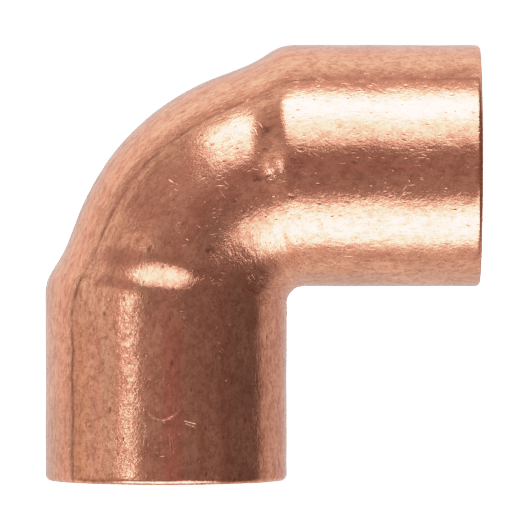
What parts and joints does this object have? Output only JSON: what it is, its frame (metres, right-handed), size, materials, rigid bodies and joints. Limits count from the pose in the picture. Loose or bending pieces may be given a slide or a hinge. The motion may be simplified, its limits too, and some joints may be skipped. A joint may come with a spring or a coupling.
{
  "type": "pipe elbow",
  "caption": "Short-radius right-angle copper elbow with a plain solder socket at each end, formed as a single seamless piece of tube.",
  "frame": {"origin": "centre of the lower socket's mouth, on which the elbow stands", "axes": "+Z along the lower socket's axis, up into the elbow; +X out of the side socket; Y across the elbow's plane"},
  "size_m": [0.0315, 0.0174, 0.0314],
  "materials": {
    "copper": "satin"
  },
  "bodies": {
    "root": {"elbow_body": "copper"}
  },
  "joints": []
}
